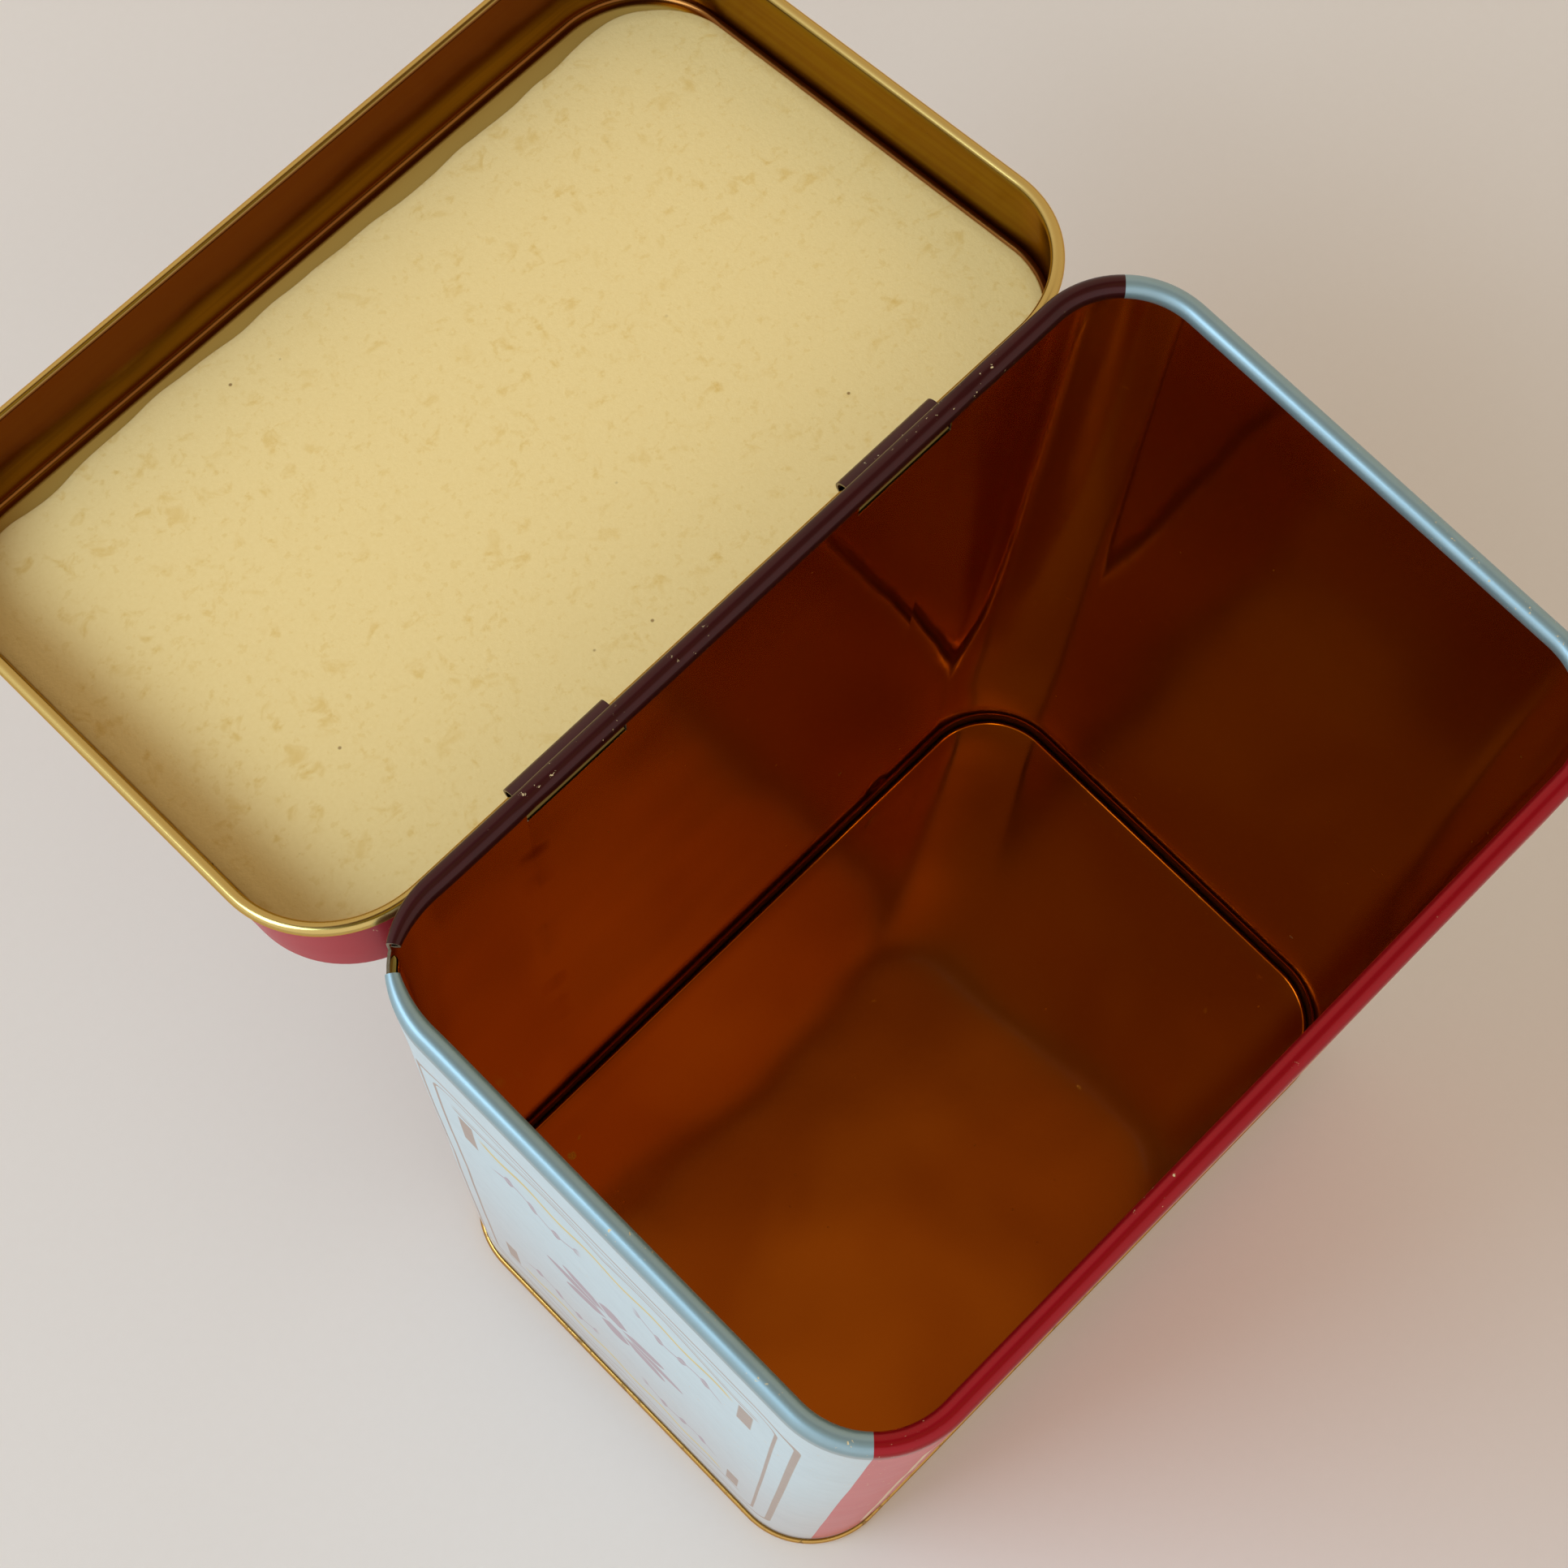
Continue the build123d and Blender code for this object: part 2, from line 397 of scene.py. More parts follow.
class Material(Tree):
    """A material being made: a principled shader and the nodes that feed it."""

    def __init__(self, name, **settings):
        self.material = bpy.data.materials.new(name)
        super().__init__(self.material)
        self.shader = self.nodes.new("ShaderNodeBsdfPrincipled")
        output = self.nodes.new("ShaderNodeOutputMaterial")
        self.links.new(self.shader.outputs["BSDF"], output.inputs["Surface"])
        self.place = self.nodes.new("ShaderNodeTexCoord").outputs["Object"]
        for setting, value in settings.items():
            self.shader.inputs[setting.replace("_", " ")].default_value = value

    def axes(self):
        """The object's x, y and z."""
        node = self.nodes.new("ShaderNodeSeparateXYZ")
        self.links.new(self.place, node.inputs[0])
        return [Term(self, socket) for socket in node.outputs]

    def stretched(self, x, y, z):
        """The object's coordinates times these factors."""
        node = self.nodes.new("ShaderNodeMapping")
        node.inputs["Scale"].default_value = (x, y, z)
        self.links.new(self.place, node.inputs["Vector"])
        return node.outputs["Vector"]

    def cloud(self, size, detail=2.0, rough=0.5, warp=0.0, vector=None):
        """Noise whose features are about that many metres across."""
        node = self.nodes.new("ShaderNodeTexNoise")
        node.inputs["Scale"].default_value = 1 / size
        node.inputs["Detail"].default_value = detail
        node.inputs["Roughness"].default_value = rough
        node.inputs["Distortion"].default_value = warp
        self.links.new(vector or self.place, node.inputs["Vector"])
        return Term(self, node.outputs["Fac"])

    def specks(self, size):
        """Distance to the nearest of scattered points, in cells of that size."""
        node = self.nodes.new("ShaderNodeTexVoronoi")
        node.inputs["Scale"].default_value = 1 / size
        self.links.new(self.place, node.inputs["Vector"])
        return Term(self, node.outputs["Distance"])

    def bump(self, height, distance):
        node = self.nodes.new("ShaderNodeBump")
        node.inputs["Strength"].default_value = 1.0
        node.inputs["Distance"].default_value = distance
        self.put(node.inputs["Height"], height)
        self.links.new(node.outputs["Normal"], self.shader.inputs["Normal"])

    def set(self, name, value):
        self.put(self.shader.inputs[name], value)


# ---- materials ----------------------------------------------------------------------------------
# the walls' colours below are painted lighter than the rim's, as lit
BLUE = linear(146, 172, 180)
BLUE_LIT_WALL = linear(198, 222, 232)
MAROON = linear(66, 14, 18)
RED = linear(158, 0, 20)
RED_LIT_WALL = linear(196, 26, 44)
CREAM = linear(226, 205, 160)
TAN = linear(158, 122, 98)
ROSE = linear(158, 108, 128)
STRAW = linear(224, 196, 64)
PRINT_MARGIN = 9 * MM  # from a body panel's edge to its outer frame line
LID_MARGIN = 6 * MM


def raw_edge():
    """Bare grey metal where the sheet is cut."""
    tree = Material("cut_tinplate", Metallic=1.0)
    grain = tree.cloud(0.15 * MM, 3)
    tree.set("Base Color", tree.mix(grain, linear(120, 105, 85), linear(170, 160, 140)))
    tree.set("Roughness", grain.over(0.2, 0.9) * 0.3 + 0.35)
    tree.bump(grain, 0.02 * MM)
    return tree.material


def lacquer(name, thin, thick, gloss, coat):
    """Clear coloured lacquer on bright tinplate: thicker stretches are deeper in colour."""
    glint = linear(255, 205, 140)
    tree = Material(name, Metallic=1.0, Specular_Tint=glint, Coat_Weight=coat, Coat_Roughness=0.05)
    depth = tree.cloud(30 * MM, 2, 0.5, 0.4)
    streak = tree.cloud(6 * MM, 2, 0.5, 0.0, tree.stretched(1, 1, 0.12))
    colour = tree.mix((depth * 0.7 + streak * 0.3).over(0.2, 0.8), thin, thick)
    fine = tree.cloud(0.5 * MM, 3)
    dirt = tree.specks(3.1 * MM).over(0.07, 0.03) * tree.cloud(9 * MM).over(0.55, 0.62)
    peel = tree.cloud(1.6 * MM, 1)
    tree.bump(peel * 0.8 + fine * 0.2, 0.002 * MM)
    return tree, colour, gloss + 0.03 * depth + 0.03 * fine + 0.25 * dirt


def body_inside():
    """Amber lacquer, browner on the bottom, a little dust and scuffing, and painted shade in the crease round
    it.
    """
    tree, colour, rough = lacquer("amber_lacquer", linear(226, 218, 108), linear(220, 201, 84), 0.09, 0.3)
    x, y, z = tree.axes()
    panel = z.over(PANEL_HEIGHT + 1.5 * MM, PANEL_HEIGHT + 0.6 * MM)
    patch = tree.cloud(34 * MM, 2, 0.5, 0.3).over(0.40, 0.62)
    colour = tree.mix(panel, colour, tree.mix(patch, linear(201, 105, 34), linear(187, 91, 21)))
    # painted shade: the crease round the bottom panel is darkened
    crease = z.over(PANEL_HEIGHT + 0.9 * MM, PANEL_HEIGHT + 0.35 * MM)
    crease = crease * rounded(tree, x, y, half_x, half_y, CORNER_RADIUS).over(-1.5 * MM, -1.0 * MM)
    # painted shade round the notch in the rim and on the wall under the lugs
    from_notch = tree.length(x + notch_x, y - notch_y, z - rim_z)
    beside_lug = abs(abs(x) - LUG_SPACING / 2).over(window_half + 0.3 * MM, window_half + 0.1 * MM)
    on_wall = y.over(half_y - 0.28 * MM, half_y - 0.15 * MM)
    under_lug = beside_lug * on_wall * z.over(lug_root - 0.6 * MM, lug_root)
    shade = from_notch.over(8 * MM, 5 * MM).high(under_lug)
    dust = tree.specks(19 * MM).over(0.022, 0.014)
    scuff = tree.cloud(0.6 * MM, 2, 0.5, 0.0, tree.stretched(0.2, 0.2, 1.4)).over(0.70, 0.74)
    scuff = scuff * tree.cloud(16 * MM, 1).over(0.62, 0.70)
    colour = tree.mix(scuff * 0.35, colour, linear(236, 186, 130))
    # painted shade, dark brown, in the crease, round the notch and under the lugs
    colour = tree.mix((crease * 0.6).high(shade * 0.9), colour, linear(60, 28, 5))
    tree.set("Base Color", tree.mix(dust, colour, linear(235, 225, 205)))
    tree.set("Roughness", rough + 0.5 * crease + 0.5 * dust + 0.15 * scuff)
    return tree.material


def lid_inside():
    """Olive gold lacquer with painted reflections, shadow and a highlight, dull on the strip that the card
    leaves bare.
    """
    tree, colour, rough = lacquer("gold_lacquer", linear(140, 118, 52), linear(128, 106, 42), 0.14, 0.1)
    x, y, z = tree.axes()
    streak = tree.cloud(1.1 * MM, 2, 0.5, 0.0, tree.stretched(0.04, 0.04, 1))
    front = y.over(-lid_half_y + 2.2 * MM, -lid_half_y + 1.0 * MM)
    depth = rounded(tree, x, y, lid_half_x, lid_half_y, lid_radius)
    curl = depth.over(0.1 * MM, 0.4 * MM)
    edge = z.over(hinge_z + 7.8 * MM, hinge_z + 5.6 * MM) * front * (1 - curl)
    panel = z.over(lid_top - 1.0 * MM, lid_top - 0.6 * MM) * depth.over(-0.9 * MM, -1.5 * MM)
    liner_shadow_line = z.over(lid_top - 1.5 * MM, lid_top - 1.1 * MM) - panel
    # painted reflection: the front skirt is painted a warmer gold
    colour = tree.mix(front * 0.6, colour, linear(176, 128, 34))
    colour = tree.mix(streak.over(0.35, 0.65) * 0.4, colour, linear(110, 72, 20))
    # painted reflection: the front skirt is painted dark brown next to its curl
    colour = tree.mix(edge * 0.92, colour, linear(100, 44, 2))
    # painted shadow line round the skirt, at the level of the card's face
    colour = tree.mix(liner_shadow_line.high(0) * 0.7, colour, linear(120, 58, 24))
    # painted highlight: the curl is painted pale
    colour = tree.mix(curl * 0.7, colour, linear(222, 194, 120))
    tree.set("Base Color", tree.mix(panel, colour, linear(205, 170, 88)))
    tree.set("Metallic", 1 - 0.7 * panel)
    tree.set("Roughness", rough + 0.06 * streak + 0.34 * panel)
    return tree.material


def outer_lacquer():
    """Gold lacquer where it shows outside, on the bottom end, brown in patches where it is rubbed."""
    tree, colour, rough = lacquer("hem_lacquer", linear(196, 156, 84), linear(176, 132, 62), 0.2, 0.3)
    rub = tree.cloud(1.2 * MM, 3, 0.6).over(0.58, 0.66)
    tree.set("Base Color", tree.mix(rub * 0.6, colour, linear(112, 84, 52)))
    tree.set("Roughness", rough + 0.25 * rub)
    return tree.material


# Print is drawn with distances in metres across a panel: u along it and v up it, from its middle.
def rounded(tree, u, v, half_u, half_v, radius):
    """Signed distance to a rounded rectangle, negative inside it."""
    past_u = abs(u) - (half_u - radius)
    past_v = abs(v) - (half_v - radius)
    corner = tree.length(past_u.high(0), past_v.high(0))
    return corner + past_u.high(past_v).low(0) - radius


def line(distance, half_width):
    """1 on a drawn line, where distance is nearly 0."""
    return distance.near(0, half_width, 0.12 * MM)


def wave(tree, along, period, height):
    """The height of a sine wave at a distance along it."""
    return tree.math("SINE", along * (2 * math.pi / period)) * height


def rosette(tree, u, v, radius, petals):
    """A flower of round petals, with a gap line between them and an open middle."""
    reach = tree.length(u, v)
    swing = tree.math("COSINE", tree.math("ARCTAN2", v, u) * petals)
    edge = reach - (0.82 * radius + 0.18 * radius * swing)
    gaps = swing.over(-0.93, -0.80)
    return edge.over(0.1 * MM, -0.1 * MM) * gaps * reach.over(0.22 * radius, 0.30 * radius)


def spray(tree, u, v, length, height):
    """Two mirrored stems that wave out from the middle, with leaves on both sides of each."""
    away = abs(u)
    inside = away.over(length, length - 1.5 * MM) * away.over(3.5 * MM, 5 * MM)
    stem = v - wave(tree, away, 0.62 * length, height)
    leaf = tree.math("SINE", away * (2 * math.pi / (3.4 * MM)))
    leaves = (abs(stem) - leaf.high(0) * 2.2 * MM).over(0.1 * MM, -0.05 * MM)
    leaves = leaves * abs(stem).over(0.45 * MM, 0.6 * MM)
    return inside * (line(stem, 0.3 * MM) + leaves).low(1)


def ornament(tree, colour, u, v, half_u, half_v, tints, crest):
    """A generic cartouche on one panel: two frame lines, scallops, ribbons, sprays, a rosette and bars."""
    frame_tint, wave_tint, flower_tint = tints
    scallop_level = crest + 9 * MM
    ribbon_level = crest + 2.5 * MM
    spray_level = crest - 9 * MM
    outer = line(rounded(tree, u, v, half_u, half_v, 6 * MM), 0.35 * MM)
    inner = line(rounded(tree, u, v, half_u - 2.6 * MM, half_v - 2.6 * MM, 4 * MM), 0.16 * MM)
    bars = (abs(u) - (half_u - 6.5 * MM)).near(0, 0.9 * MM, 0.2 * MM)
    bars = bars * abs(v).near(crest - 1 * MM, 5.5 * MM, 1 * MM)
    colour = tree.mix((outer + inner + bars).low(1) * 0.85, colour, frame_tint)
    wander = wave(tree, u, 9 * MM, 0.9 * MM)
    ribbons = sum(line(v - level - wander, 0.75 * MM) for level in (ribbon_level, -ribbon_level)).low(1)
    ribbons = ribbons * abs(u).over(half_u - 8 * MM, half_u - 9.5 * MM)
    colour = tree.mix(ribbons * 0.9, colour, wave_tint)
    scallop = wave(tree, half_u + abs(u), half_u, 2.2 * MM)
    high = v - scallop_level - scallop
    low = v + scallop_level + scallop
    bands = line(high, 0.3 * MM) + line(low, 0.3 * MM) + line(high - 1.4 * MM, 0.12 * MM)
    bands = bands * abs(u).over(half_u - 4.5 * MM, half_u - 5.5 * MM)
    colour = tree.mix(bands.low(1) * 0.8, colour, frame_tint)
    flower = rosette(tree, u, v, min(half_u, half_v) * 0.42, 8)
    sprays = [spray(tree, u, v - level, half_u - 9 * MM, 2.4 * MM) for level in (spray_level, -spray_level)]
    return tree.mix((flower + sum(sprays).low(1)).low(1) * 0.75, colour, flower_tint)


def ink_wear(tree):
    """Small chips where the print is rubbed through."""
    chips = tree.cloud(0.7 * MM, 3, 0.7).over(0.66, 0.70)
    return chips * tree.cloud(14 * MM, 1).over(0.52, 0.6)


def varnish(tree, wear):
    """Gloss of varnished lithograph print, with orange peel and rubbed patches."""
    fine = tree.cloud(0.35 * MM, 2)
    peel = tree.cloud(1.4 * MM, 1)
    tree.set("Roughness", 0.4 + 0.1 * tree.cloud(12 * MM, 3) + 0.3 * wear)
    tree.bump(peel * 0.7 + fine * 0.3 - wear * 0.8, 0.008 * MM)


def printed_body():
    """Transparent inks on tinplate: blue ends, a red front and a maroon back, with painted light and shade on
    the walls.
    """
    tree = Material("printed_body", Specular_IOR_Level=0.35, Coat_Weight=0.3, Coat_Roughness=0.1)
    x, y, z = tree.axes()
    mottle = tree.cloud(3 * MM, 4, 0.6)
    # the four panels meet at the middles of the corners
    past_x = abs(x) - (half_x - CORNER_RADIUS)
    past_y = abs(y) - (half_y - CORNER_RADIUS)
    end_panel = (past_x - past_y).over(-0.05 * MM, 0.05 * MM)
    rear_panel = y.over(-0.05 * MM, 0.05 * MM)
    # painted light: the walls below the rim curl are painted in lighter colours than the rim
    wall = z.over(rim_z - RIM_CURL - 0.1 * MM, rim_z - RIM_CURL - 0.9 * MM)
    red = tree.mix(wall, RED, RED_LIT_WALL)
    maroon = tree.mix(mottle, MAROON, linear(54, 12, 14))
    blue = tree.mix(wall, BLUE, BLUE_LIT_WALL)
    # painted reflection: the blue fades to pale grey towards the base
    blue = tree.mix(z.over(110 * MM, 20 * MM) * 0.8, blue, linear(196, 196, 198))
    up = z - 0.5 * rim_z
    tall = 0.5 * rim_z - 13 * MM
    crest = 0.3 * rim_z
    across = half_y - PRINT_MARGIN
    along = half_x - PRINT_MARGIN
    ends = ornament(tree, blue, y, up, across, tall, (TAN, STRAW, ROSE), crest)
    front = ornament(tree, red, x, up, along, tall, (CREAM, STRAW, linear(226, 180, 160)), crest)
    back = ornament(tree, maroon, x, up, along, tall, (TAN, linear(190, 150, 84), TAN), crest)
    long_side = tree.mix(rear_panel, front, back)
    colour = tree.mix(end_panel, long_side, ends)
    # painted shade: a darker grey band at the foot of the walls
    foot = z.over(7.5 * MM, 6.8 * MM)
    colour = tree.mix(foot * 0.7, colour, linear(112, 104, 112))
    wear = ink_wear(tree)
    colour = tree.mix(wear, tree.mix(mottle.over(0.3, 0.8) * 0.06, colour, linear(40, 30, 34)), CREAM)
    tree.set("Base Color", colour)
    tree.set("Metallic", 0.65 - 0.35 * wall - 0.3 * wear * wall)
    varnish(tree, wear)
    return tree.material


def printed_lid():
    """Red ink, with the ornament on the lid's top only."""
    tree = Material("printed_lid", Specular_IOR_Level=0.35, Coat_Weight=0.15, Coat_Roughness=0.1)
    tree.set("Metallic", 0.3)
    x, y, z = tree.axes()
    mottle = tree.cloud(3 * MM, 4, 0.6)
    wear = ink_wear(tree)
    top = z.over(lid_top - 0.4 * MM, lid_top - 0.2 * MM)
    red = tree.mix(mottle, linear(176, 10, 38), linear(164, 6, 32))
    tints = (CREAM, STRAW, CREAM)
    drawn = ornament(tree, red, x, y, half_x - LID_MARGIN, half_y - LID_MARGIN, tints, 15 * MM)
    red = tree.mix(top, red, drawn)
    tree.set("Base Color", tree.mix(wear, red, CREAM))
    varnish(tree, wear)
    return tree.material


def liner_card():
    """Pulpy yellow card, with soft golden blotches and a few dark specks."""
    tree = Material("liner_card", Roughness=0.85, Specular_IOR_Level=0.2)
    pulp = tree.cloud(0.6 * MM, 4, 0.65)
    patch = tree.cloud(9 * MM, 3, 0.6)
    base = tree.mix(pulp, linear(247, 221, 158), linear(240, 211, 143))
    flecks = tree.cloud(2.6 * MM, 3, 0.6, 0.5).over(0.52, 0.74) * patch.over(0.30, 0.62)
    fine = tree.cloud(1.1 * MM, 2, 0.6).over(0.58, 0.70)
    base = tree.mix(flecks * 0.6 + fine * 0.25, base, linear(226, 186, 100))
    specks = tree.specks(6 * MM).over(0.045, 0.02)
    specks = specks * tree.cloud(21 * MM, 1).over(0.45, 0.6)
    tree.set("Base Color", tree.mix(specks * 0.8, base, linear(128, 88, 40)))
    tree.bump(pulp, 0.05 * MM)
    return tree.material


def floor_paper():
    """Matt warm white paper, faintly mottled."""
    tree = Material("floor_paper", Roughness=0.8, Specular_IOR_Level=0.2)
    soft = tree.cloud(60 * MM, 2)
    grain = tree.cloud(1.5 * MM, 2)
    tree.set("Base Color", tree.mix(soft * 0.7 + grain * 0.3, linear(236, 228, 221), linear(230, 221, 213)))
    return tree.material


# ---- the pieces ---------------------------------------------------------------------------------
def body_section(curl):
    """From the hook in the double seam, up the wall, to the end of the rim curl, which is that wide."""
    neck_turn = math.degrees(math.acos(1 - NECK_IN / (2 * NECK_BEND)))
    neck_rise = 2 * NECK_BEND * math.sin(math.radians(neck_turn))
    hook_top = seam_top - SEAM_GAP
    curl_foot = rim_z - curl / 2
    moves = [
        straight(hook_top - seam_low),
        bend(LAYER, -180, 30),
        straight(NECK_TOP - neck_rise - seam_low),
        bend(NECK_BEND, -neck_turn),
        bend(NECK_BEND, neck_turn),
        straight(lug_root - NECK_TOP),
        straight(lug_tab),
        straight(notch_foot - lug_root - lug_tab),
        straight(curl_foot - notch_foot),
        bend((curl - SHEET) / 2, RIM_CURL_TURN),
    ]
    return trace((wall_in + 2 * LAYER, hook_top), -90, moves)


def in_window(place):
    """Whether a place on the rear wall is in one of the openings that the lugs were struck from."""
    beside = abs(abs(place.x) - LUG_SPACING / 2)
    return place.y > half_y - SHEET and beside < window_half and lug_root < place.z < lug_root + lug_tab


def in_notch(place):
    """Whether a place is in the gap in the rim curl, above the corner lock seam."""
    if place.x > -corner_x or place.y < corner_y or place.z < notch_foot:
        return False
    angle = math.degrees(math.atan2(place.y - corner_y, -place.x - corner_x))
    return abs(angle - 45) < notch_turn / 2


def dented(place, normal):
    """The place moved along its normal by the walls' small unevenness, none at the rim and the base."""
    x, y, z = place
    share = held((z - NECK_TOP) / (12 * MM)) * held((rim_z - 4 * MM - z) / (14 * MM))
    amount = share * (0.22 * swell(place, 38 * MM, 3.1) + 0.05 * swell(place, 13 * MM, 8.4)) * MM
    return x + normal.x * amount, y + normal.y * amount, z


def make_body(materials):
    """The wall with its hook, neck and rim curl, and the two lugs struck from its rear side."""
    edges = [side * LUG_SPACING / 2 + end * window_half for side in (-1, 1) for end in (-1, 1)]
    cuts = [45 - notch_turn / 2, 45 + notch_turn / 2]
    stations = outline(half_x, half_y, CORNER_RADIUS, edges, cuts)
    rows = []
    for place, normal in stations:
        from_notch = (place - Vector((-notch_x, notch_y))).length - NOTCH_WIDTH / 2
        pinch = NOTCH_PINCH * held(1 - from_notch / NOTCH_TAPER) ** 2
        rows += around([(place, normal)], body_section(RIM_CURL * (1 - pinch)))
    rows = [[dented(point, normal) for point in row] for row, (_, normal) in zip(rows, stations)]
    sheet = SheetMesh()
    sheet.grid(rows, True, False, lambda place: in_window(place) or in_notch(place))
    moves = [
        bend(LUG_BEND, -90, 15),
        straight(hinge_out + SHEET / 2 - LUG_BEND),
        bend(lug_roll, LUG_WRAP),
    ]
    section = trace((-SHEET / 2, lug_root), 90, moves)
    for side in (-1, 1):
        spots = side * LUG_SPACING / 2 + np.linspace(LUG_LENGTH / 2, -LUG_LENGTH / 2, LUG_STEPS + 1)
        sheet.grid([[(x, half_y + out, up) for out, up in section] for x in spots], False, False)
    return sheet.thicken("tin_body_shell", *materials)


def make_side_seam(material):
    """The lock seam folded inside the rear left corner, a low rounded ridge on the lacquered side."""
    half_profile = [(0.4, 1.0), (0.8, 0.95), (0.93, 0.6), (1.0, RIDGE_FOOT)]  # out from the ridge's middle
    profile = [(-across, height) for across, height in half_profile[::-1]] + half_profile
    top = rim_z - RIM_CURL - SIDE_SEAM_CLEAR
    between = list(np.linspace(NECK_TOP + 2 * MM, top - 2 * MM, SEAM_LEVELS))
    levels = [NECK_TOP, NECK_TOP + 0.4 * MM] + between + [top - 0.3 * MM, top]
    rows = []
    for level in levels:
        at_end = level in (levels[0], levels[-1])
        row = []
        for across, height in profile:
            angle = math.radians(135) + across * SIDE_SEAM_WIDTH / 2 / CORNER_RADIUS
            stand = height * SIDE_SEAM_STEP + 0.08 * MM * swell((0, across, level), 20 * MM, 5.0)
            if at_end:
                stand = RIDGE_FOOT * SIDE_SEAM_STEP
            reach = CORNER_RADIUS - SHEET - stand
            row.append((-corner_x + reach * math.cos(angle), corner_y + reach * math.sin(angle), level))
        rows.append(row)
    sheet = SheetMesh()
    sheet.grid(rows, False, False)
    piece = new_piece("side_seam_fold", sheet.points, sheet.faces, [material])
    soft = piece.modifiers.new("soft", "SUBSURF")
    soft.levels = 2
    return applied(piece)


def make_bottom(materials):
    """The bottom end: its edge folded round the body's hook in a double seam, and its panel inside."""
    chuck_bend = 2 * LAYER - SEAM_GAP
    moves = [
        straight(seam_top - seam_low),
        bend(LAYER, -180, 20),
        straight(seam_top - SHEET / 2 - chuck_bend),
        bend(chuck_bend, -90, 15),
        straight(4 * LAYER - 2 * chuck_bend),
        bend(chuck_bend, -90, 15),
        straight(PANEL_HEIGHT - SHEET - PANEL_BEND - chuck_bend),
        bend(PANEL_BEND, 90),
    ]
    section = trace((wall_in + LAYER, seam_low), 90, moves)
    sheet = SheetMesh()
    ring = sheet.grid(around(outline(half_x, half_y, CORNER_RADIUS), section), True, True)

    def unevenness(place):
        inside = min(half_x - abs(place.x), half_y - abs(place.y)) - 2 * MM
        height = 0.20 * swell(place, 34 * MM, 6.2) + 0.05 * swell(place, 11 * MM, 1.3)
        return held(inside / (12 * MM)) * height * MM

    sheet.fill(ring, True, BOTTOM_RINGS, unevenness)
    return sheet.thicken("tin_bottom_end", *materials)


def make_lid(materials):
    """The drawn lid, built shut and then turned open: flat top, rounded edge, skirt and outward curl."""
    edge = LID_EDGE_RADIUS - SHEET / 2
    slot_low = hinge_z + LID_CURL / 2
    slot_high = hinge_z + lug_radius + LUG_SLOT_GAP
    skirt_top = lid_top - SHEET / 2 - edge
    moves = [
        bend(edge, -90),
        straight(skirt_top - slot_high),
        straight(slot_high - slot_low),
        straight(slot_low - hinge_z),
        bend((LID_CURL - SHEET) / 2, LID_CURL_TURN, 12),
    ]
    section = trace((SHEET / 2 - edge, lid_top - SHEET / 2), 0, moves)
    slot_half = LUG_LENGTH / 2 + LUG_SIDE_GAP
    edges = [side * LUG_SPACING / 2 + end * slot_half for side in (-1, 1) for end in (-1, 1)]
    stations = outline(lid_half_x, lid_half_y, lid_radius, edges)

    def in_slot(place):
        """Whether a place on the rear skirt is in one of the slots that let the lugs through."""
        beside = abs(abs(place.x) - LUG_SPACING / 2)
        return abs(place.y - lid_half_y) < SHEET and beside < slot_half and slot_low < place.z < slot_high

    sheet = SheetMesh()
    rows = [row[::-1] for row in around(stations, section)]
    ring = sheet.grid(rows, True, False, in_slot)

    def unevenness(place):
        inside = min(lid_half_x - abs(place.x), lid_half_y - abs(place.y)) - 3 * MM
        height = 0.12 * swell(place, 40 * MM, 2.2)
        return held(inside / (12 * MM)) * height * MM

    sheet.fill(ring, False, LID_RINGS, unevenness)
    piece = sheet.thicken("tin_lid_shell", *materials)
    piece.matrix_world = lid_place
    return piece


def make_liner(material):
    """Card cut by hand: its front edge wanders, its cut edge is slightly rounded, and its face is uneven."""
    gap = LID_EDGE_RADIUS - SHEET + LINER_EDGE_CLEAR
    length = lid_half_x - gap
    front = lid_half_y - LINER_FRONT_GAP
    rear = lid_half_y - gap
    middle = (rear - front) / 2
    face = lid_top - SHEET - LINER_THICKNESS
    # inward from the cut edge, and up
    profile = [
        (0.0, lid_top - SHEET),
        (0.0, face + 0.25 * MM),
        (0.06 * MM, face + 0.08 * MM),
        (0.22 * MM, face),
    ]
    stations = outline(length, (rear + front) / 2, lid_radius - gap, step=1.2 * MM)
    rows = []
    for place, normal in stations:
        along = (place.x, 0, 0)
        wander = (1.7 * swell(along, 17 * MM, 4.0) + 0.5 * swell(along, 5 * MM, 9.0)) * MM
        inset = max(0.0, -normal.y) * (LINER_TRIM + wander)
        rough = 0.04 * MM * swell((place.x, place.y, 0), 0.9 * MM, 2.0)
        row = []
        for inward, up in profile:
            reach = inset + inward + rough
            row.append((place.x - normal.x * reach, place.y - normal.y * reach + middle, up))
        rows.append(row)
    sheet = SheetMesh()
    ring = sheet.grid(rows, True, False)

    def unevenness(place):
        return -abs(swell(place, 15 * MM, 7.7)) * 0.05 * MM

    sheet.fill(ring, False, LINER_RINGS, unevenness)
    piece = new_piece("lid_liner_card", sheet.points, sheet.faces, [material])
    piece = applied(piece, 60)
    piece.matrix_world = lid_place
    return piece


def belongs(piece, body, slot, *nodes):
    """Ties the piece to its body and hides the CAD nodes that it stands for; slot is not used."""
    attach(piece, body)
    if nodes:
        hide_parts(*nodes)


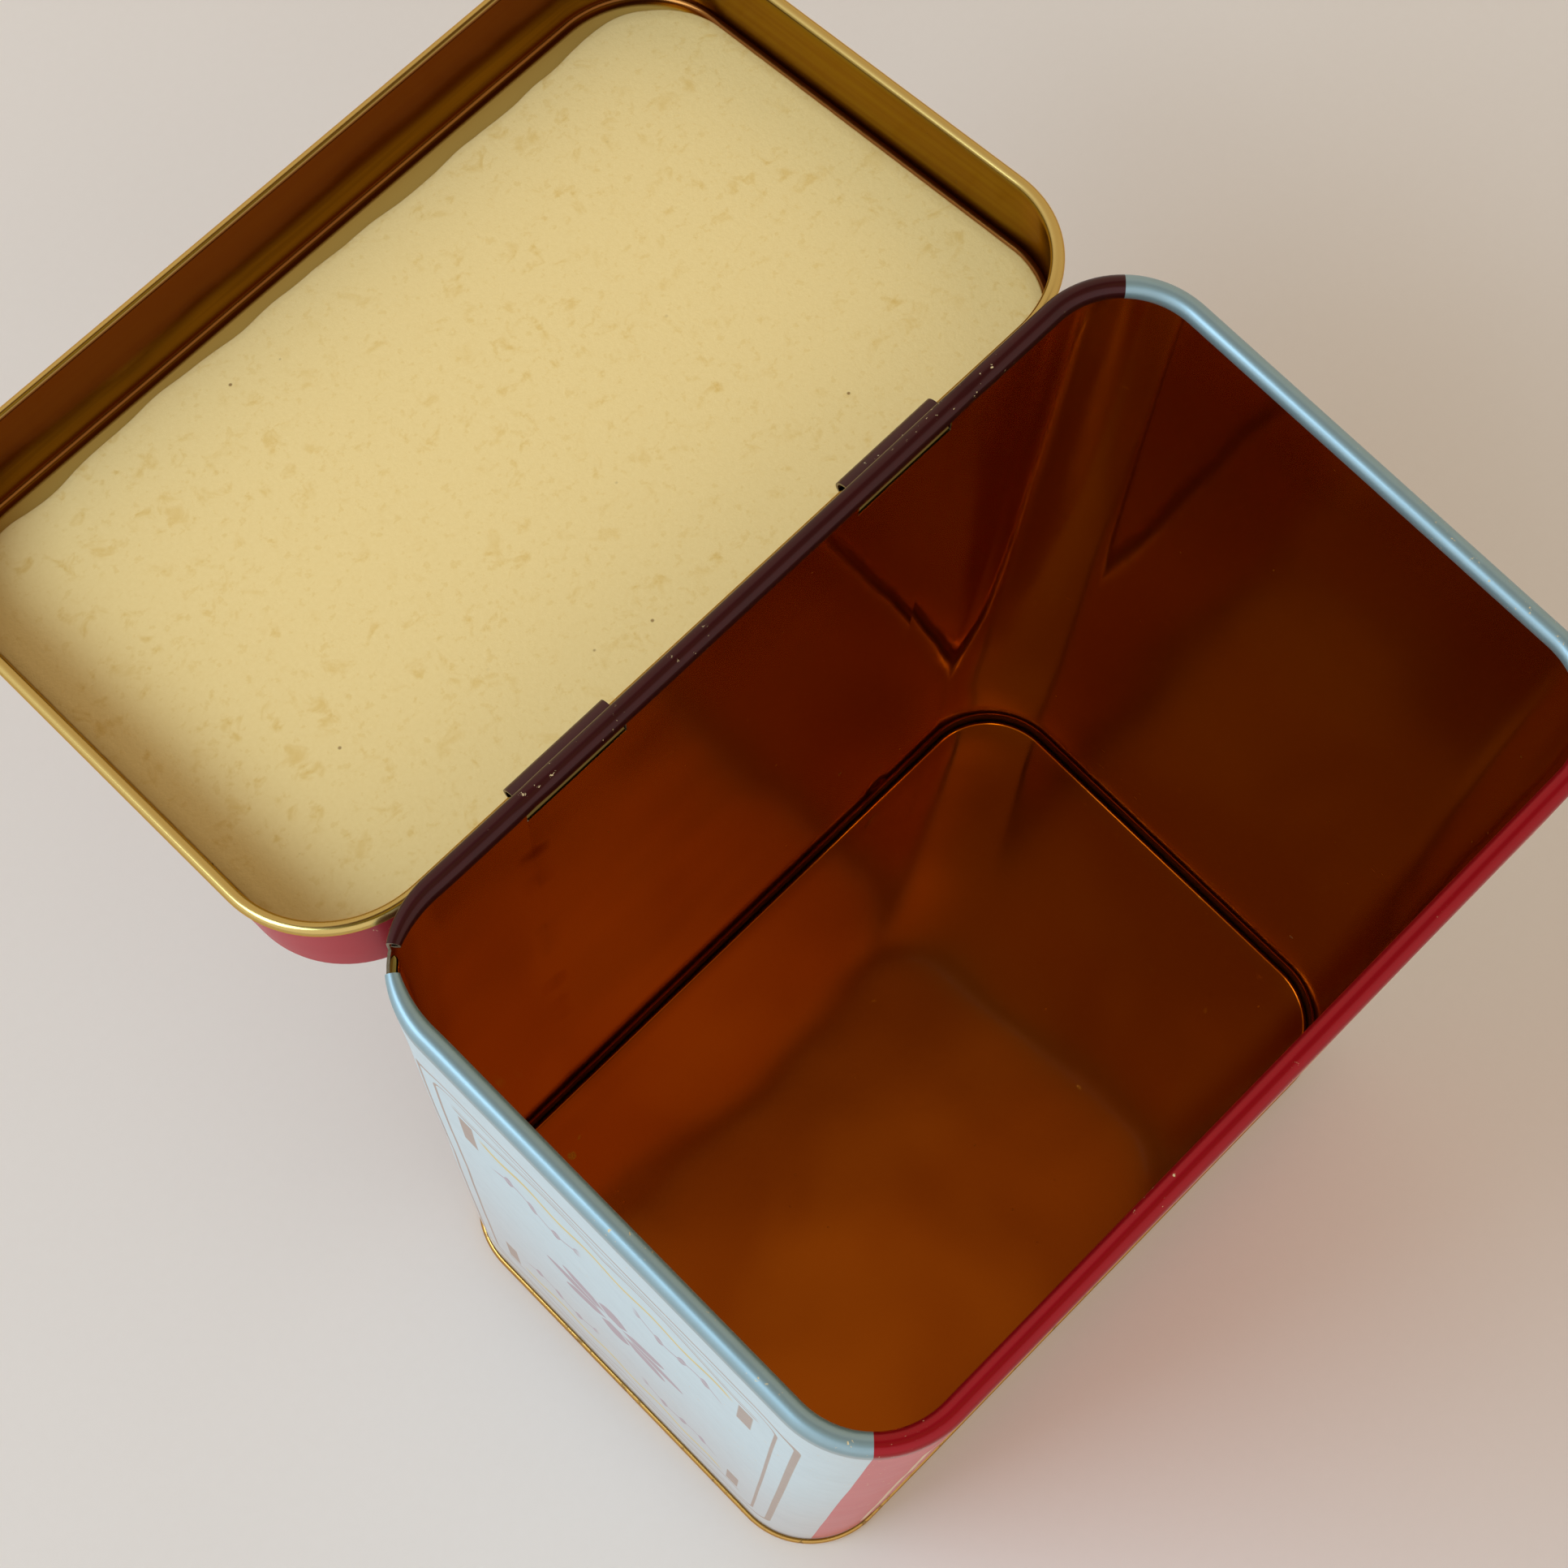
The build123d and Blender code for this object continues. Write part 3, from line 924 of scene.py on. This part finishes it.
edge_metal = raw_edge()
body_lacquer = body_inside()
belongs(make_body([printed_body(), body_lacquer, edge_metal]), "tin_body", "printed_body", "body_shell")
belongs(make_side_seam(body_lacquer), "tin_body", "gold_lacquer")
belongs(make_bottom([outer_lacquer(), body_lacquer, edge_metal]), "tin_body", "gold_lacquer", "bottom_end")
belongs(make_lid([printed_lid(), lid_inside(), edge_metal]), "tin_lid", "printed_lid", "lid_shell")
belongs(make_liner(liner_card()), "tin_lid", "liner_card", "lid_liner")


# ---- floor, light and camera --------------------------------------------------------------------
def make_floor():
    """A sheet of pale paper under the tin."""
    spots = np.linspace(-FLOOR_HALF, FLOOR_HALF, FLOOR_CELLS + 1)
    points = [(x, y, 0) for y in spots for x in spots]
    across = len(spots)
    corners = [row * across + column for row in range(FLOOR_CELLS) for column in range(FLOOR_CELLS)]
    faces = [(i, i + 1, i + across + 1, i + across) for i in corners]
    floor = new_piece("floor", points, faces, [floor_paper()])


def soft_box(name, place, aim, size, power, colour):
    """A rectangular lamp at a place, turned towards its aim."""
    light = bpy.data.lights.new(name, "AREA")
    light.shape = "RECTANGLE"
    light.size, light.size_y = size
    light.energy = power
    light.color = colour
    lamp = bpy.data.objects.new(name, light)
    lamp.location = place
    lamp.rotation_euler = (Vector(aim) - Vector(place)).to_track_quat("-Z", "Y").to_euler()
    bpy.context.scene.collection.objects.link(lamp)


def make_world():
    """Soft room light: a warm patch overhead, dim round it, and bright low down, most of all to the left."""
    world = bpy.data.worlds.new("studio")
    bpy.context.scene.world = world
    tree = Tree(world)
    direction = tree.nodes.new("ShaderNodeTexCoord").outputs["Generated"]

    def facing(axis, start, end):
        """0 where the direction is far from the axis, 1 near it; start and end are cosines."""
        dot = tree.nodes.new("ShaderNodeVectorMath")
        dot.operation = "DOT_PRODUCT"
        dot.inputs[1].default_value = Vector(axis).normalized()
        tree.links.new(direction, dot.inputs[0])
        return tree.ramp(dot.outputs["Value"], start, end)

    low_right = (0.74, 0.61, 0.45, 1)
    low_left = (1.04, 1.03, 1.03, 1)
    dim_right = (0.10, 0.040, 0.006, 1)
    dim_left = (0.16, 0.12, 0.018, 1)
    warm_patch = (0.38, 0.27, 0.045, 1)
    low_down = tree.mix(facing((-1, -0.3, 0), -0.7, 0.8), low_right, low_left)
    overhead = tree.mix(facing((-1, -1, 0), -0.14, 0.10), dim_right, dim_left)
    around_it = tree.mix(facing((0, 0, 1), 0.80, 0.91), low_down, overhead)
    background = tree.nodes.new("ShaderNodeBackground")
    colour = tree.mix(facing((0.02, -0.08, 1), 0.955, 0.998), around_it, warm_patch)
    tree.put(background.inputs["Color"], colour)
    output = tree.nodes.new("ShaderNodeOutputWorld")
    tree.links.new(background.outputs["Background"], output.inputs["Surface"])


def make_camera():
    """Stands high over the tin's front left corner and looks steeply down into it."""
    place = Vector((-77.2, -35.0, 427.4)) * MM
    aim = Vector((-12.0, 18.0, 148.0)) * MM
    roll = math.radians(6.23)
    data = bpy.data.cameras.new("camera")
    data.lens = 70.4
    data.sensor_width = 36
    data.clip_start = 0.01
    camera = bpy.data.objects.new("camera", data)
    turn = (aim - place).to_track_quat("-Z", "Y").to_matrix().to_4x4()
    camera.matrix_world = Matrix.Translation(place) @ turn @ Matrix.Rotation(roll, 4, "Z")
    bpy.context.scene.collection.objects.link(camera)
    bpy.context.scene.camera = camera


make_floor()
make_world()
soft_box("window", place=(-0.52, 0.30, 0.72), aim=(0, 0, 0.1), size=(0.4, 0.4),
         power=3.4, colour=(0.57, 0.79, 1.0))
bpy.context.scene.view_settings.view_transform = "Standard"
make_camera()
